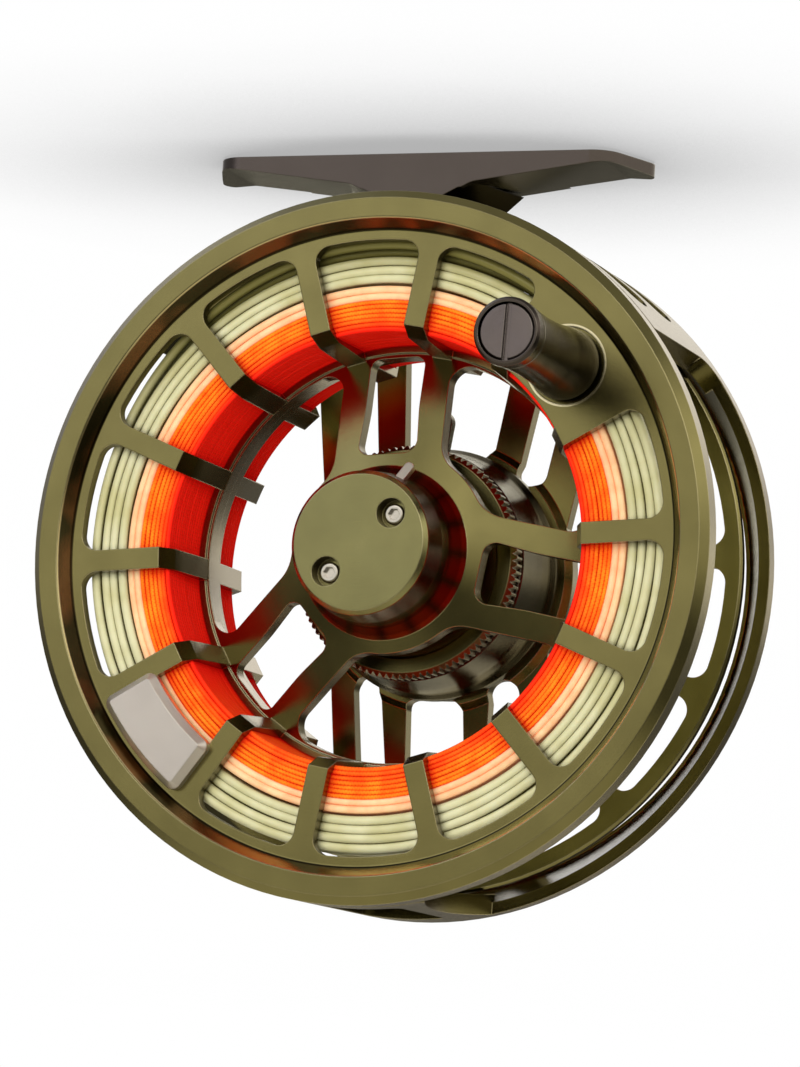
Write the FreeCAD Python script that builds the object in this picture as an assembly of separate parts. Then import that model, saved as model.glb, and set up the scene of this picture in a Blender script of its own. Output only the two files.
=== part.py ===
import FreeCAD, Part
import os
from math import acos, asin, cos, degrees, inf, radians, sin, sqrt, tan

# Large-arbor fly reel, millimetres.
# The spool turns about an axis along Y. -Y is the front, the handle side; +Y is the
# rear, the drag-knob side; +Z points at the rod and X runs along the rod.
# Every piece is drawn about the spool axis, with y = 0 in the plane of the rim's
# front outer edge, and is exported with the origin moved to the middle of the
# foot's flat top, where the reel meets the rod.
# Names: R_ is a radius from the spool axis, Y_ a station along it, T_ a thickness
# along it. Angles are degrees round the axis, from +X towards +Z.

os.makedirs("parts", exist_ok=True)
Vector = FreeCAD.Vector
ORIGIN = Vector(0, 0, 0)
X_AXIS, Y_AXIS, Z_AXIS = Vector(1, 0, 0), Vector(0, 1, 0), Vector(0, 0, 1)

# ------------------------------------------------------------------ shared dimensions
GAP = 0.05                      # running clearance per side
HEX_AF = 13.0                   # drive hub hexagon, across flats
R_SPINDLE = 2.5

# spool
R_RIM = 49.0                    # outer radius of the palming rim and of the frame
RIM_W = 3.2                     # width of the rim's outer band
RIM_CH = 1.13                   # front chamfer of the rim
R_RIM_IN = 44.95                # inner edge of the rim's front face
R_DISH = 43.76                  # foot of the cone behind the rim's front face
Y_FLANGE, T_FLANGE = 0.93, 1.57     # front flange
Y_FLANGE_REAR = Y_FLANGE + T_FLANGE
Y_RF0, Y_RF1 = 26.3, 27.9       # rear flange, front and rear faces
R_RF = 45.6                     # rear flange outer radius
R_WIN = 42.4                    # outer end of the front flange windows
R_WIN_R = 43.3                  # outer end of the rear flange windows
WINDOW_FILLET = 2.2
N_SPOKE = 14                    # spokes and windows in each flange
PITCH = 360.0 / N_SPOKE
SPOKE_W = 2.93
R_KNEE = 30.7                   # where a spoke's flat face ends and it turns rearward
R_ARBOR, T_ARBOR = 28.5, 1.4    # inner radius and radial thickness of the arbor bars
R_ARBOR_OUT = R_ARBOR + T_ARBOR
Y_RING0, Y_RING1 = 13.4, 18.0   # arbor ring, front and rear edge
R_WEB_HUB, Y_WEB_HUB = 12.4, 7.9    # front of the dished web at the hub
T_WEB = 2.4
PAIR_IN, PAIR_MID = 4.4, 3.95   # slot half-widths in a pair of web arms: at the hub, half way
PAIR_OUT = 7.8                  # half-width over a pair of web arms
R_HUB_OPEN = 13.9               # inner end of the web openings
R_HUB_OPEN_H = 14.9             # inner end of the opening on the handle side
R_CAP, Y_CAP_JOINT = 10.46, 2.5     # where the cap meets the hub
R_NOSE_BORE = 3.2               # bore of cap and hub round the spindle's front end

# pieces that turn with the spool
HANDLE_ANGLE = 42.2             # rest direction of the handle
R_HANDLE = 36.8                 # handle axis
LATCH_A = 24.0                  # direction of the release latch, from the handle
LATCH_TRAVEL = 1.0              # how far the latch is pressed inwards
Y_LATCH0, Y_LATCH1 = 1.0, 2.2   # latch plate, front and rear faces

# frame
Y_WALL = 3.5                    # front edge of the cage walls
R_WALL_IN = 46.2                # inner radius of the cage walls
Y_RR = 28.2                     # front edge of the rear ring
Y_PL0, Y_PL1 = 30.2, 32.4       # middle of the back plate, front and rear faces
Z_FOOT = 56.3                   # top face of the reel foot
Y_FOOT0, Y_FOOT1 = 9.0, 21.0    # foot, front and rear edge
FOOT_SCREWS = (12.2, 17.8)      # y of the foot screws

# drag housing and click
Y_MOUTH = 18.75                 # front edge of the housing
Y_FLOOR = 28.2                  # front of the housing's floor
R_BOWL = 14.6                   # inner radius of the housing
R_NECK = 4.08                   # bore round the rear of the spindle
R_SEAT = 5.02                   # bearing seats in the drive hub
N_TEETH = 100
R_GEAR = 16.35                  # crests of the click gear
Y_GEAR0, Y_GEAR1 = 15.7, 18.5   # click gear, front and rear faces
R_HUB_BORE = 6.46               # bore of gear and backing plate
PAWL_A, R_PAWL = 82.0, 20.3     # pawl pin
GEAR_A = PAWL_A - 0.5 * 360.0 / N_TEETH     # puts a tooth crest under the pawl

# drag stack: carbon and steel washers in turn, each step a thickness and a gap
Y_STACK = 20.1
N_CARBON = 4
T_CARBON, T_STEEL = 0.6, 0.5
STACK_GAP = 0.05
STEP_CARBON, STEP_STEEL = T_CARBON + STACK_GAP, T_STEEL + STACK_GAP
Y_STACK_END = Y_STACK + N_CARBON * STEP_CARBON + (N_CARBON - 1) * STEP_STEEL

SEAT = Vector(0, 0.5 * (Y_FOOT0 + Y_FOOT1), Z_FOOT)      # the exported origin


# ------------------------------------------------------------------ helpers
def filleted_corners(points):
    """For each outline point (a, b[, fillet radius]): arc middle or None, start, end."""
    corners = []
    for i, point in enumerate(points):
        corner = Vector(point[0], point[1], 0)
        radius = point[2] if len(point) > 2 else 0.0
        if radius <= 0:
            corners.append((None, corner, corner))
            continue
        following = points[(i + 1) % len(points)]
        back = Vector(points[i - 1][0], points[i - 1][1], 0) - corner
        ahead = Vector(following[0], following[1], 0) - corner
        back_len, ahead_len = back.Length, ahead.Length
        back.normalize()
        ahead.normalize()
        half = acos(max(-1.0, min(1.0, back.dot(ahead)))) / 2.0
        # the fillet takes less than half of either side
        setback = min(radius / tan(half), 0.48 * back_len, 0.48 * ahead_len)
        radius = setback * tan(half)
        inward = back + ahead
        inward.normalize()
        middle = corner + inward * (radius / sin(half) - radius)
        corners.append((middle, corner + back * setback, corner + ahead * setback))
    return corners


def outline_wire(points, place):
    """Closed planar wire through outline points; place(a, b) gives the 3-D point."""
    corners = filleted_corners(points)
    edges = []
    for i, (middle, start, end) in enumerate(corners):
        if middle is not None:
            arc = Part.Arc(*[place(p.x, p.y) for p in (start, middle, end)])
            edges.append(arc.toShape())
        target = corners[(i + 1) % len(corners)][1]
        if abs(end.x - target.x) + abs(end.y - target.y) > 1e-7:
            edges.append(Part.makeLine(place(end.x, end.y), place(target.x, target.y)))
    return Part.Wire(edges)


def polygon_face(points):
    return Part.Face(Part.makePolygon(points + points[:1]))


def revolved(profile):
    """Solid of revolution about Y from a profile of (radius, y[, fillet])."""
    face = Part.Face(outline_wire(profile, lambda a, b: Vector(a, b, 0)))
    return face.revolve(ORIGIN, Y_AXIS, 360.0)


def prism(outline, y0, y1):
    """Prism along Y from an outline of (x, z[, fillet])."""
    face = Part.Face(outline_wire(outline, lambda a, b: Vector(a, y0, b)))
    return face.extrude(Vector(0, y1 - y0, 0))


def cylinder(radius, y0, y1, at=(0, 0)):
    """Cylinder along Y, centred on at = (x, z)."""
    return Part.makeCylinder(radius, y1 - y0, Vector(at[0], y0, at[1]), Y_AXIS)


def tube(r_in, r_out, y0, y1):
    return cylinder(r_out, y0, y1).cut(cylinder(r_in, y0 - 1, y1 + 1))


def block(x, y, dx, dy, width):
    """Box from the corner (x, y), its width centred on z = 0."""
    return Part.makeBox(dx, dy, width, Vector(x, y, -0.5 * width))


def z_cylinder(radius, y, z, height):
    return Part.makeCylinder(radius, height, Vector(0, y, z), Z_AXIS)


def z_cone(r_low, r_high, y, z, height):
    return Part.makeCone(r_low, r_high, height, Vector(0, y, z), Z_AXIS)


def turn(shape, angle):
    """Turned copy about the spool axis, +X towards +Z."""
    turned = shape.copy()
    turned.rotate(ORIGIN, Vector(0, -1, 0), angle)
    return turned


def polar(radius, angle):
    """(x, z) of a point round the spool axis."""
    return (radius * cos(radians(angle)), radius * sin(radians(angle)))


def sector(r_in, r_out, a0, a1, y0, y1):
    """Part of a tube between two angles."""
    corners = ((r_in, y0), (r_out, y0), (r_out, y1), (r_in, y1))
    face = polygon_face([Vector(r, y, 0) for r, y in corners])
    return turn(face.revolve(ORIGIN, Vector(0, -1, 0), a1 - a0), a0)


def radial_cylinder(radius, angle, y, r0, r1):
    """Cylinder pointing away from the spool axis, from radius r0 to r1."""
    x, z = polar(1.0, angle)
    return Part.makeCylinder(radius, r1 - r0, Vector(x * r0, y, z * r0), Vector(x, 0, z))


def hexagon(across_flats, y0, y1, angle=0.0, at=(0, 0)):
    corner = across_flats / sqrt(3.0)
    shape = prism([polar(corner, angle + 60 * k) for k in range(6)], y0, y1)
    return shape.translated(Vector(at[0], 0, at[1]))


def stadium(radius, x0, x1, y0, y1):
    """Slot-shaped plate along X with round ends centred at x0 and x1."""
    return cylinder(radius, y0, y1, (x0, 0)).fuse([
        cylinder(radius, y0, y1, (x1, 0)), block(x0, y0, x1 - x0, y1 - y0, 2 * radius)])


def coil(radius, wire_radius, length, turns, base, direction):
    """Compression spring as one swept solid."""
    helix = Part.makeHelix(length / turns, length, radius)
    section = Part.Wire(Part.makeCircle(wire_radius, Vector(radius, 0, 0), Y_AXIS))
    spring = Part.Wire(helix).makePipeShell([section], True, True)
    spring.Placement = FreeCAD.Placement(base, FreeCAD.Rotation(Z_AXIS, direction))
    return spring


def mirror_x(points):
    return [(-p[0],) + tuple(p[1:]) for p in points][::-1]


def symmetric(half):
    """Closed outline from its half on one side of x = 0."""
    return half + mirror_x(half)


def edges_along_y(shape, r_min, r_max=inf):
    """Edges parallel to Y, more than r_min and at most r_max from the spool axis."""
    found = []
    for edge in shape.Edges:
        box, end = edge.BoundBox, edge.Vertexes[0]
        if box.XLength < 1e-6 and box.ZLength < 1e-6:
            if r_min < sqrt(end.X ** 2 + end.Z ** 2) <= r_max:
                found.append(edge)
    return found


def edges_at_y(shape, y):
    return [e for e in shape.Edges
            if abs(e.BoundBox.YMin - y) < 1e-5 and abs(e.BoundBox.YMax - y) < 1e-5]


def spooled(shape):
    """Bring a piece drawn with the handle along +X to its rest direction."""
    return turn(shape, HANDLE_ANGLE)


def at_latch(shape):
    """Place a piece drawn with the latch along +X."""
    return spooled(turn(shape, LATCH_A))


def at_handle(shape):
    """Place a piece drawn with the handle's axis on the spool axis."""
    return spooled(shape.translated(Vector(R_HANDLE, 0, 0)))


def export(name, shape):
    refined = shape.removeSplitter()
    if not refined.isValid():
        refined = shape
    refined.translated(-SEAT).exportStep("parts/%s.step" % name)


def export_group(name, shapes):
    """Several solids in one file."""
    compound = Part.makeCompound([s.translated(-SEAT) for s in shapes])
    compound.exportStep("parts/%s.step" % name)


# hole patterns, as (x, z); those of the spool are before it is turned to rest
WEIGHT_SCREW_R, WEIGHT_SCREW_A = 39.3, 5.5
CAP_SCREWS = [polar(6.0, a) for a in (0, 180)]
WEIGHT_SCREWS = [polar(WEIGHT_SCREW_R, 180 + a) for a in (-WEIGHT_SCREW_A, WEIGHT_SCREW_A)]
THRUST_PINS = [polar(9.0, a) for a in (90, 210, 330)]
HOUSING_SCREWS = [polar(15.95, a) for a in (30, 150, 270)]
THIRDS = (0, 120, 240)
R_GEAR_SCREW = 10.0
R_DETENT = 13.2
DETENT = polar(R_DETENT, 60)
PAWL_PIN = polar(R_PAWL, PAWL_A)


# ------------------------------------------------------------------ spool
def rim():
    return revolved([
        (R_RIM - RIM_CH, -RIM_CH), (R_RIM, 0.0), (R_RIM, RIM_W - 0.35), (R_RIM - 0.35, RIM_W),
        (45.6, RIM_W, 0.5), (44.4, Y_FLANGE_REAR), (R_WIN, Y_FLANGE_REAR),
        (R_WIN, Y_FLANGE), (R_DISH, Y_FLANGE, 0.25), (R_RIM_IN + 0.12, -RIM_CH + 0.18),
        (R_RIM_IN + 0.3, -RIM_CH)])


def front_window():
    """Cutter for a front flange window round +X, its inner end inside the knee."""
    y = Y_FLANGE - 1

    def on_spoke(radius, side):
        """Point at this radius on the side of the neighbouring spoke."""
        angle = radians(PITCH / 2.0) - asin(0.5 * SPOKE_W / radius)
        return Vector(radius * cos(angle), y, side * radius * sin(angle))

    in_a, in_b = on_spoke(R_KNEE - 1.2, -1), on_spoke(R_KNEE - 1.2, 1)
    out_a, out_b = on_spoke(R_WIN, -1), on_spoke(R_WIN, 1)
    outline = Part.Wire([
        Part.makeLine(in_a, out_a),
        Part.Arc(out_a, Vector(R_WIN, y, 0), out_b).toShape(),
        Part.makeLine(out_b, in_b),
        Part.makeLine(in_b, in_a)])
    window = Part.Face(outline).extrude(Vector(0, T_FLANGE + 2, 0))
    return window.makeFillet(WINDOW_FILLET, edges_along_y(window, R_WIN - 1))


def front_disc():
    """Front flange disc; the window at the handle stays closed."""
    disc = revolved([(R_KNEE, Y_FLANGE), (R_WIN + 0.8, Y_FLANGE),
                     (R_WIN + 0.8, Y_FLANGE_REAR), (R_KNEE, Y_FLANGE_REAR)])
    window = front_window()
    for k in range(1, N_SPOKE):
        disc = disc.cut(turn(window, PITCH * k))
    return disc


def arbor_bars():
    """Spokes' inner ends that turn rearward into arbor bars."""
    profile = [     # (radius, y)
        (R_KNEE + 1.6, Y_FLANGE), (R_KNEE, Y_FLANGE), (29.3, 3.6), (R_ARBOR, Y_RING0),
        (R_ARBOR, Y_RF1), (R_ARBOR_OUT, Y_RF1), (R_ARBOR_OUT, 4.2),
        (31.3, Y_FLANGE_REAR), (R_KNEE + 1.6, Y_FLANGE_REAR)]
    face = polygon_face([Vector(r, y, -SPOKE_W / 2.0) for r, y in profile])
    bar = face.extrude(Vector(0, 0, SPOKE_W))
    return [turn(bar, PITCH * (k + 0.5)) for k in range(N_SPOKE)]


def arbor_ring():
    return revolved([
        (R_ARBOR, Y_RING0 + 0.5), (R_ARBOR + 0.5, Y_RING0), (R_ARBOR_OUT, Y_RING0),
        (R_ARBOR_OUT, Y_RING1), (R_ARBOR + 0.3, Y_RING1), (R_ARBOR, Y_RING1 - 0.3)])


def rear_flange():
    """Outer band and windowed disc."""
    band = revolved([(R_WIN_R, Y_RF0), (R_RF - 0.3, Y_RF0), (R_RF, Y_RF0 + 0.3),
                     (R_RF, Y_RF1 - 0.3), (R_RF - 0.3, Y_RF1), (R_WIN_R, Y_RF1)])
    window = sector(R_ARBOR - 1, R_WIN_R, -PITCH / 2, PITCH / 2, Y_RF0 - 1, Y_RF1 + 1)
    for side in (-1, 1):
        window = window.cut(turn(block(20, Y_RF0 - 2, 30, 6, SPOKE_W), side * PITCH / 2))
    # guards the corner fillet: without it the corners stay sharp
    try:
        window = window.makeFillet(WINDOW_FILLET, edges_along_y(window, R_WIN_R - 1))
    except Exception:
        pass
    disc = tube(R_ARBOR + 0.7, R_WIN_R + 0.8, Y_RF0, Y_RF1)
    for k in range(N_SPOKE):
        disc = disc.cut(turn(window, PITCH * k))
    return [band, disc]


def y_web(radius):
    """Front face of the dished web."""
    slope = (Y_RING0 + 0.1 - Y_WEB_HUB) / (R_ARBOR - R_WEB_HUB)
    return Y_WEB_HUB + slope * (radius - R_WEB_HUB)


def web_openings():
    """The three large openings between the pairs of web arms."""
    side_half = 0.5 * (180 - 2 * PITCH)
    side_mid = 2 * PITCH + side_half
    openings = []
    for middle, half, r_in in ((0.0, 2 * PITCH, R_HUB_OPEN_H),
                               (side_mid, side_half, R_HUB_OPEN),
                               (-side_mid, side_half, R_HUB_OPEN)):
        opening = sector(r_in, R_ARBOR - 0.05, middle - half, middle + half, 0, 24)
        for angle in (middle - half, middle + half):
            opening = opening.cut(turn(block(0, -1, 40, 26, 2 * PAIR_OUT), angle))
        openings += opening.Solids
    return openings


def dished_web():
    r_in, r_out = 11.0, R_ARBOR + 0.4
    web = revolved([(r_in, y_web(r_in)), (r_out, y_web(r_out)),
                    (r_out, y_web(r_out) + T_WEB), (r_in, y_web(r_in) + T_WEB)])
    slot = prism([
        (R_HUB_OPEN, -PAIR_IN, 1.8), (20.6, -PAIR_MID, 22.0), (28.25, -PAIR_MID - 0.1, 1.5),
        (28.25, PAIR_MID + 0.1, 1.5), (20.6, PAIR_MID, 22.0), (R_HUB_OPEN, PAIR_IN, 1.8)], 0, 24)
    for angle in (2 * PITCH, -2 * PITCH, 180.0):
        web = web.cut(turn(slot, angle))
    for opening in web_openings():
        # guards the fillets: a corner that can't be rounded stays sharp
        try:
            opening = opening.makeFillet(5.0, edges_along_y(opening, 0, 24))
            opening = opening.makeFillet(2.6, edges_along_y(opening, 24))
        except Exception:
            pass
        web = web.cut(opening)
    return web


def hub():
    """Cone under the cap, flare into the web and rear boss."""
    return revolved([
        (R_NOSE_BORE, Y_CAP_JOINT), (R_CAP, Y_CAP_JOINT), (R_CAP, 5.1, 2.4),
        (12.15, y_web(12.15) + 0.02), (13.3, y_web(13.3) + 0.02), (13.3, 10.4),
        (11.5, 11.4), (11.5, 15.2), (11.2, 15.5), (R_NOSE_BORE, 15.5)])


def make_spool():
    # closes the outer part of the window under the counterweight
    weight_seat = sector(36.0, R_WIN + 0.5, 180 - PITCH / 2, 180 + PITCH / 2,
                         Y_FLANGE, Y_FLANGE_REAR)
    spool = rim().fuse([front_disc(), weight_seat] + arbor_bars() + [arbor_ring()]
                       + rear_flange() + [dished_web(), hub()])
    # bevel round the inner rear edge of the bars
    spool = spool.cut(revolved([(27.9, 25.0), (31.1, 28.2), (27.9, 28.2)]))
    # hexagon socket for the drive hub
    spool = spool.cut(hexagon(HEX_AF + 2 * GAP, 4.6, 16.0))
    # notch in the hub's front edge under the latch tab
    spool = spool.cut(turn(block(8.9, 2.4, 1.9, 1.15, 1.9), LATCH_A))
    for at in CAP_SCREWS:
        spool = spool.cut(cylinder(1.05, 2.0, 4.8, at))
    # handle post hole and a shallow seat round it
    y0, y1 = Y_FLANGE - 1, Y_FLANGE_REAR + 1
    spool = spool.cut(cylinder(1.72, y0, y1, (R_HANDLE, 0)))
    spool = spool.cut(cylinder(5.35, y0, Y_FLANGE + 0.35, (R_HANDLE, 0)))
    for at in WEIGHT_SCREWS:
        spool = spool.cut(cylinder(0.95, y0, y1, at))
    return spool


# ------------------------------------------------------------------ cap and latch
def spool_cap():
    y_front = -2.1
    cap = revolved([(0, y_front), (9.35, y_front), (9.95, y_front + 0.7, 0.3),
                    (R_CAP, Y_CAP_JOINT), (0, Y_CAP_JOINT)])
    cap = cap.cut(cylinder(R_NOSE_BORE, -0.4, 3.0))
    for at in CAP_SCREWS:
        cap = cap.cut(cylinder(2.05, y_front - 1, 0.1, at)).cut(cylinder(1.06, 0, 3, at))
    # pocket for the latch, its tab and its spring
    pocket = stadium(4.1, -LATCH_TRAVEL - 0.1, 1.15, 0.9, 3.0).fuse([
        block(2.0, 0.9, 9.0, 2.1, 1.7), block(-8.9, 0.9, 9.0, 2.1, 1.7)])
    return cap.cut(turn(pocket, LATCH_A))


def release_latch():
    """Plate with an oval opening round the spindle, a tail for the spring and a tab
    bent back along the hub's flare."""
    tab_w = 1.24
    stretch = LATCH_TRAVEL + 0.05
    tab = Part.Face(outline_wire(       # (x, y[, fillet])
        [(3.4, Y_LATCH0), (9.85, Y_LATCH0, 0.8), (12.75, 2.75), (12.35, 3.75),
         (9.7, Y_LATCH1, 0.5), (3.4, Y_LATCH1)],
        lambda a, b: Vector(a, b, -0.5 * tab_w))).extrude(Vector(0, 0, tab_w))
    # round the two side edges of the tab's end
    tab = tab.makeFillet(0.55, [e for e in tab.Edges
                                if e.BoundBox.ZLength < 1e-6 and e.BoundBox.XMin > 12.2])
    tail = block(-6.4, Y_LATCH0, 2.9, Y_LATCH1 - Y_LATCH0, 1.3)
    latch = stadium(3.9, 0.0, stretch, Y_LATCH0, Y_LATCH1).fuse([tab, tail])
    return latch.cut(stadium(2.62, 0.0, stretch, 0.5, 3.0))


def cap_screw(at):
    y_head = -0.85
    screw = cylinder(1.45, y_head, 0.1, at).fuse(cylinder(0.98, 0.0, 4.5, at))
    screw = screw.makeFillet(0.35, [e for e in edges_at_y(screw, y_head) if e.Length > 9])
    return screw.cut(hexagon(1.45, -1.2, -0.2, 15, at))


# ------------------------------------------------------------------ handle
Y_TIP = -23.5                   # front end of the knob
Y_POST = -21.2                  # front end of the post


def handle_post():
    post = revolved([
        (0, Y_POST), (1.6, Y_POST), (1.6, 0.0), (3.4, 0.0), (3.4, 1.28), (1.7, 1.28),
        (1.7, 2.5), (2.3, 2.5), (2.3, 2.85), (0, 2.85)])
    return post.cut(cylinder(0.98, -22, -16.5))


def handle_knob():
    knob = revolved([
        (2.45, 0.05), (4.75, 0.05), (5.0, -0.3), (4.93, -1.6), (4.35, -6.5, 14),
        (4.18, -14.0, 30), (4.5, -20.6, 8), (4.62, -21.6), (4.62, -23.1), (4.25, Y_TIP),
        (3.92, Y_TIP), (3.92, -21.9), (2.45, -21.9)])
    # recess round the post's collar
    knob = knob.cut(revolved([(4.0, 1.0), (3.55, 1.0), (3.55, -0.15), (2.0, -0.15), (2.0, 1.0)]))
    # groove round the outside near the front end
    return knob.cut(revolved([(4.45, -20.75), (5.2, -20.75), (5.2, -21.05), (4.45, -21.05)]))


def handle_bushing(y0, y1):
    return revolved([(1.66, y0), (2.43, y0), (2.43, y1), (1.66, y1)])


def handle_screw():
    screw = revolved([
        (0, -23.35), (3.55, -23.35), (3.85, -23.05), (3.85, -21.98), (1.55, -21.98),
        (1.55, -21.25), (0.95, -21.25), (0.95, -16.8), (0, -16.8)])
    return screw.cut(turn(block(-4.5, Y_TIP, 9, 0.75, 0.85), 46.0))


# ------------------------------------------------------------------ counterweight
def counterweight():
    """Drawn round +X."""
    y_front = -1.1
    weight = sector(34.6, 43.0, -11.4, 11.4, y_front, Y_FLANGE)
    weight = weight.makeFillet(1.3, [e for e in weight.Edges if e.BoundBox.YLength > 1.9
                                     and e.BoundBox.XLength < 1e-6])
    weight = weight.makeChamfer(0.95, edges_at_y(weight, y_front))
    for angle in (-WEIGHT_SCREW_A, WEIGHT_SCREW_A):
        weight = weight.cut(cylinder(0.92, -0.3, 2.0, polar(WEIGHT_SCREW_R, angle)))
    return weight


def counterweight_screw(at):
    return cylinder(0.88, -0.2, 2.6, at).fuse(cylinder(1.6, 2.5, 2.95, at))


# ------------------------------------------------------------------ line on the arbor
R_BACK, R_RUN, R_FLY = 34.3, 36.5, 40.7     # outer radii of the three layers
LINE_GAP = 0.08                             # between layers
Y_LINE = (3.1, 25.9)


def backing_line():
    r_in = R_ARBOR_OUT + 0.15
    return revolved([(31.4, Y_LINE[0]), (R_BACK, Y_LINE[0]), (R_BACK, Y_LINE[1]),
                     (r_in, Y_LINE[1]), (r_in, 4.8)])


# ------------------------------------------------------------------ frame
WALL_TOP = (38.1, 141.9)        # ends of the top wall
SLOT_TOP = (45.4, 71.5)         # ends of the slots in the top wall, right-hand side
SLOT_TOP_Y = ((7.5, 15.0), (19.0, 26.0))
PORT_BOTTOM = (-97.0, -83.0)
Y_WALL_END = Y_RR + 0.4         # the walls run this far into the rear ring
WAIST = ((10.7, Y_WALL), (8.35, 16.0), (11.6, Y_WALL_END))      # lower wall: half-width, y
DISH_Y, DISH_SLOPE = 28.06, 0.16    # front face of the dished arms: y = DISH_Y + slope * radius
T_ARM = 2.2
R_MID, R_HUBPL = 18.6, 19.5     # back plate's disc: its flat part, and with the start of the dish
Y_CUT = (28, 40)                # y range that spans the whole back plate

# edges of the right-hand arms: x, z of a point and the slope dx/dz
TOP_IN = (6.90, 18.62, 0.110)
TOP_OUT = (19.16, 13.09, 0.166)
TOP_SLOT = ((11.05, 18.26, 0.142), (15.25, 18.26, 0.150))
LOW_OUT = (16.07, -16.37, 0.055)
LOW_IN = (4.30, -20.0, -0.020)
LOW_SLOT = ((8.06, -17.7, 0.061), (12.48, -16.34, 0.046))


def on_edge(edge, z, *fillet):
    """Outline point on an arm edge at height z."""
    x0, z0, slope = edge
    return (x0 + slope * (z - z0), z) + fillet


def slot_outline(edges, inner, outer):
    """Slot between two edges; inner and outer are (z, fillet)."""
    return [on_edge(edges[0], *inner), on_edge(edges[0], *outer),
            on_edge(edges[1], *outer), on_edge(edges[1], *inner)]


def shell(a0, a1, y0, y1):
    return sector(R_WALL_IN, R_RIM, a0, a1, y0, y1)


R_ROUND = 47.6                  # radius at which wall roundings are laid out


def wall_corner(angle, side, radius):
    """Concave fillet between a wall end and the rear ring."""
    end = angle + side * degrees(radius / R_ROUND)
    fill = shell(min(angle, end), max(angle, end), Y_RR - radius, Y_WALL_END)
    return fill.cut(radial_cylinder(radius, end, Y_RR - radius, R_WALL_IN - 4, R_RIM + 6))


def port(a0, a1, y0, y1, radius):
    """Cutter for a round-cornered opening through a wall."""
    r_in, r_out = R_WALL_IN - 3, R_RIM + 3
    inset = degrees(radius / R_ROUND)
    corners = [radial_cylinder(radius, angle, y, r_in, r_out)
               for angle in (a0 + inset, a1 - inset) for y in (y0 + radius, y1 - radius)]
    tall = sector(r_in, r_out, a0 + inset, a1 - inset, y0, y1)
    wide = sector(r_in, r_out, a0, a1, y0 + radius, y1 - radius)
    return tall.fuse([wide] + corners)


def rear_ring():
    return revolved([
        (R_RIM, Y_RR), (R_RIM, 30.4), (48.5, 30.9), (47.6, 31.1, 0.5), (45.7, 36.6, 0.9),
        (44.6, 37.4), (43.6, 37.25), (43.6, 35.04), (44.3, 35.1, 0.6), (47.4, Y_RR)])


def top_wall():
    wall = shell(WALL_TOP[0], WALL_TOP[1], Y_WALL, Y_WALL_END)
    return wall.fuse([wall_corner(WALL_TOP[0], -1, 3.6), wall_corner(WALL_TOP[1], 1, 3.6)])


def lower_wall():
    """Waisted: widest at its front edge and where it runs into the rear ring."""
    right = [Vector(x, y, -52) for x, y in WAIST]
    left = [Vector(-x, y, -52) for x, y in WAIST[::-1]]
    outline = Part.Wire([
        Part.makeLine(left[2], right[0]), Part.Arc(*right).toShape(),
        Part.makeLine(right[2], left[0]), Part.Arc(*left).toShape()])
    waisted = Part.Face(outline).extrude(Vector(0, 0, 12))
    front_corners = [e for e in waisted.Edges if e.BoundBox.XLength < 1e-6
                     and e.BoundBox.YLength < 1e-6 and e.BoundBox.YMax < 5]
    waisted = waisted.makeFillet(0.9, front_corners)
    return shell(-110, -70, Y_WALL, Y_WALL_END).common(waisted)


def back_plate():
    """Central disc and two pairs of arms that slope rearward to the ring."""
    r_out = 44.4
    y_in, y_out = DISH_Y + DISH_SLOPE * R_HUBPL, DISH_Y + DISH_SLOPE * r_out
    cone = revolved([
        (18.0, Y_PL0), (R_MID, Y_PL0), (R_HUBPL, y_in), (r_out, y_out), (r_out, y_out + T_ARM),
        (R_HUBPL, y_in + T_ARM), (18.4, Y_PL1), (18.0, Y_PL1)])
    top = [on_edge(TOP_IN, 5), on_edge(TOP_IN, 46), on_edge(TOP_OUT, 46), on_edge(TOP_OUT, 0),
           (5, 0)]
    low = [on_edge(LOW_IN, -8), on_edge(LOW_IN, -46), on_edge(LOW_OUT, -46),
           on_edge(LOW_OUT, -8)]
    arms = cylinder(R_HUBPL, *Y_CUT)
    arms = arms.fuse([prism(o, *Y_CUT) for o in (top, mirror_x(top), low, mirror_x(low))])
    plate = cylinder(R_MID, Y_PL0, Y_PL1).fuse(arms.common(cone))
    # windows between the two arms of a pair
    for half in ([on_edge(TOP_IN, 16.6, 2.4), on_edge(TOP_IN, 60)],
                 [on_edge(LOW_IN, -17.6, 1.8), on_edge(LOW_IN, -60)]):
        window = prism(symmetric(half), *Y_CUT)
        plate = plate.cut(window.common(cylinder(44.0, 27, 41)))
    return plate


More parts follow.
